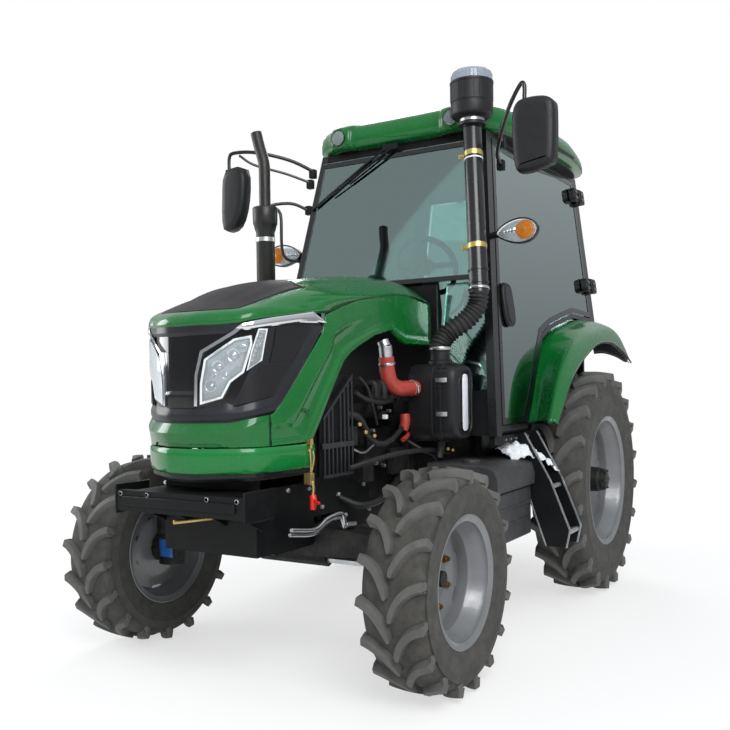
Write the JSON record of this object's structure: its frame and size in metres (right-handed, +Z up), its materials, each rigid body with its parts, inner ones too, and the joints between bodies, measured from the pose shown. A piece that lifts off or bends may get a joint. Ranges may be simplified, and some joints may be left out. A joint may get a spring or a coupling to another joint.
{
  "type": "farm tractor",
  "caption": "Green four-wheel-drive farm tractor with a closed glass cab, chevron tyres, sloping bonnet, upright exhaust, air intake stack and rear linkage.",
  "frame": {"origin": "on the ground, midway along the length and across the width", "axes": "+X is the tractor's left, -Y is forwards and +Z is up"},
  "size_m": [2.04, 3.792, 2.985],
  "materials": {
    "green_paint": "gloss",
    "black_paint": "satin",
    "black_casting": "satin paint",
    "exhaust_steel": "satin heat-proof paint",
    "silver_paint": "metallic silver",
    "tyre_rubber": "matte",
    "tinted_glass": "tinted",
    "lamp_lens": "clear",
    "mask_plastic": "satin",
    "black_plastic": "fine grain",
    "red_silicone": "satin",
    "seat_cloth": "woven",
    "zinc_steel": "yellow zinc"
  },
  "bodies": {
    "chassis": {"air_cleaner": "black_plastic", "battery_box": "black_paint", "bonnet_latch": "zinc_steel", "cab_floor": "black_paint", "cab_frame": "black_paint", "cab_roof": "green_paint", "dashboard": "black_plastic", "door_hinges": "black_paint", "engine": "black_casting", "exhaust": "exhaust_steel", "fender_left": "green_paint", "fender_right": "green_paint", "front_axle": "black_paint", "front_frame": "black_paint", "front_glass": "tinted_glass", "fuel_tank": "black_paint", "hitch": "black_paint", "intake_hose": "red_silicone", "intake_pipe": "black_paint", "mirrors": "black_plastic", "nose_band": "green_paint", "precleaner": "black_plastic", "radiator": "black_paint", "rear_axle": "black_paint", "seat_back": "seat_cloth", "seat_base": "black_plastic", "seat_cushion": "seat_cloth", "steps": "black_paint", "transmission": "black_paint", "turn_signals": "lamp_lens", "weight_carrier": "black_paint", "work_lamps": "lamp_lens"},
    "bonnet": {"bonnet": "green_paint", "bonnet_nose": "green_paint", "bonnet_mask": "mask_plastic", "headlamps": "lamp_lens"},
    "door_left": {"door_glass_left": "tinted_glass", "door_fittings_left": "black_plastic"},
    "door_right": {"door_glass_right": "tinted_glass", "door_fittings_right": "black_plastic"},
    "rear_window": {"rear_window": "tinted_glass"},
    "steering_wheel": {"steering_wheel": "black_plastic"},
    "knuckle_left": {"knuckle_left": "black_paint"},
    "knuckle_right": {"knuckle_right": "black_paint"},
    "front_wheel_left": {"front_tyre_left": "tyre_rubber", "front_rim_left": "silver_paint"},
    "front_wheel_right": {"front_tyre_right": "tyre_rubber", "front_rim_right": "silver_paint"},
    "rear_wheel_left": {"rear_tyre_left": "tyre_rubber", "rear_rim_left": "silver_paint"},
    "rear_wheel_right": {"rear_tyre_right": "tyre_rubber", "rear_rim_right": "silver_paint"},
    "steering_rod": {"steering_rod": "zinc_steel"},
    "lift_arms": {"lift_arms": "black_paint"},
    "lift_rod_left": {"lift_rod_left": "black_paint"},
    "lift_rod_right": {"lift_rod_right": "black_paint"},
    "lower_link_left": {"lower_link_left": "black_paint"},
    "lower_link_right": {"lower_link_right": "black_paint"},
    "top_link": {"top_link": "black_paint"}
  },
  "joints": [
    {"name": "steer_left", "type": "hinge", "parent": "chassis", "child": "knuckle_left", "pos_m": [0.676, -1.204, 0.469], "axis": [0, 0, 1], "range_deg": [-40, 40]},
    {"name": "steer_right", "type": "hinge", "parent": "chassis", "child": "knuckle_right", "pos_m": [-0.676, -1.204, 0.469], "axis": [0, 0, 1], "range_deg": [-40, 40]},
    {"name": "steering_slide", "type": "slide", "parent": "chassis", "child": "steering_rod", "axis": [1, 0, 0], "range_m": [-0.09, 0.09]},
    {"name": "front_spin_left", "type": "hinge", "parent": "knuckle_left", "child": "front_wheel_left", "pos_m": [0.825, -1.204, 0.469], "axis": [1, 0, 0], "continuous": true},
    {"name": "front_spin_right", "type": "hinge", "parent": "knuckle_right", "child": "front_wheel_right", "pos_m": [-0.825, -1.204, 0.469], "axis": [1, 0, 0], "continuous": true},
    {"name": "rear_spin_left", "type": "hinge", "parent": "chassis", "child": "rear_wheel_left", "pos_m": [0.825, 0.896, 0.67], "axis": [1, 0, 0], "continuous": true},
    {"name": "rear_spin_right", "type": "hinge", "parent": "chassis", "child": "rear_wheel_right", "pos_m": [-0.825, 0.896, 0.67], "axis": [1, 0, 0], "continuous": true},
    {"name": "steering_wheel_turn", "type": "hinge", "parent": "chassis", "child": "steering_wheel", "pos_m": [0, 0.336, 1.985], "axis": [0, 0.8533, 0.5215], "continuous": true},
    {"name": "bonnet_hinge", "type": "hinge", "parent": "chassis", "child": "bonnet", "pos_m": [0, -0.284, 1.78], "axis": [-1, 0, 0], "range_deg": [0, 50]},
    {"name": "door_hinge_left", "type": "hinge", "parent": "chassis", "child": "door_left", "pos_m": [0.68887, 1.456, 1.93], "axis": [-0.124, 0, 0.9923], "range_deg": [0, 78]},
    {"name": "door_hinge_right", "type": "hinge", "parent": "chassis", "child": "door_right", "pos_m": [-0.68887, 1.456, 1.93], "axis": [-0.124, 0, -0.9923], "range_deg": [0, 78]},
    {"name": "rear_window_hinge", "type": "hinge", "parent": "chassis", "child": "rear_window", "pos_m": [0, 1.553, 2.655], "axis": [1, 0, 0], "range_deg": [0, 60]},
    {"name": "lift", "type": "hinge", "parent": "chassis", "child": "lift_arms", "pos_m": [0, 1.076, 0.915], "axis": [1, 0, 0], "range_deg": [-25, 10]},
    {"name": "lift_rod_hang_left", "type": "hinge", "parent": "lift_arms", "child": "lift_rod_left", "pos_m": [0.284, 1.316, 0.915], "axis": [1, 0, 0], "range_deg": [-10, 25]},
    {"name": "lift_rod_hang_right", "type": "hinge", "parent": "lift_arms", "child": "lift_rod_right", "pos_m": [-0.284, 1.316, 0.915], "axis": [1, 0, 0], "range_deg": [-10, 25]},
    {"name": "lower_link_swing_left", "type": "hinge", "parent": "chassis", "child": "lower_link_left", "pos_m": [0.315, 1.126, 0.47], "axis": [1, 0, 0], "range_deg": [-15, 6]},
    {"name": "lower_link_swing_right", "type": "hinge", "parent": "chassis", "child": "lower_link_right", "pos_m": [-0.315, 1.126, 0.47], "axis": [1, 0, 0], "range_deg": [-15, 6]},
    {"name": "top_link_swing", "type": "hinge", "parent": "chassis", "child": "top_link", "pos_m": [0, 1.211, 0.83], "axis": [1, 0, 0], "range_deg": [-20, 15]}
  ],
  "couplings": [
    {"joint": "steer_right", "follows": "steer_left", "ratio": 1},
    {"joint": "steering_slide", "follows": "steer_left", "m_per_rad": -0.12},
    {"joint": "lift_rod_hang_left", "follows": "lift", "ratio": -1},
    {"joint": "lift_rod_hang_right", "follows": "lift", "ratio": -1},
    {"joint": "lower_link_swing_left", "follows": "lift", "ratio": 0.585},
    {"joint": "lower_link_swing_right", "follows": "lift", "ratio": 0.585}
  ]
}
